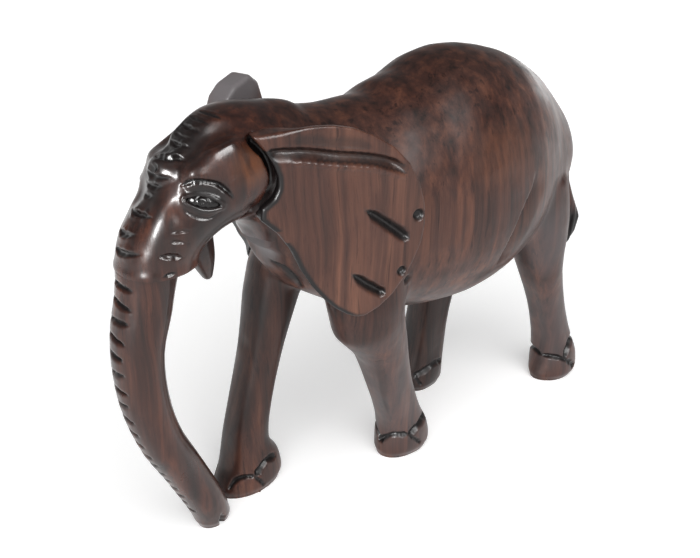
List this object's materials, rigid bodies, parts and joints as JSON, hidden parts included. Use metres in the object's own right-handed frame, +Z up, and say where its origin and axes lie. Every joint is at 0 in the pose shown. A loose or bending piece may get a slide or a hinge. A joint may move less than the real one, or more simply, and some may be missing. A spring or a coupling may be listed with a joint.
{
  "type": "carved elephant figurine",
  "caption": "Free-standing hardwood elephant walking with its head low: a humped body, broad flat ears and a notched trunk that reaches the floor.",
  "frame": {"origin": "middle of the carving's footprint box, on the surface that it stands on", "axes": "+Z up, -X the way the elephant walks, so its left side faces -Y"},
  "size_m": [0.2234, 0.069, 0.1508],
  "materials": {
    "body_wood": "dark red-brown hardwood, oiled and polished to a gloss",
    "face_wood": "the same hardwood, near black over the brow, polished",
    "ear_wood": "the same hardwood, upright grain, polished",
    "leg_wood": "the same hardwood, polished",
    "eye_wood": "stained black and polished"
  },
  "bodies": {
    "root": {"torso": "body_wood", "head": "face_wood", "trunk": "face_wood", "lower_jaw": "face_wood", "left_ear": "ear_wood", "right_ear": "ear_wood", "front_left_leg": "leg_wood", "front_right_leg": "leg_wood", "rear_left_leg": "leg_wood", "rear_right_leg": "leg_wood", "tail": "leg_wood", "left_eye": "eye_wood", "right_eye": "eye_wood"}
  },
  "joints": []
}
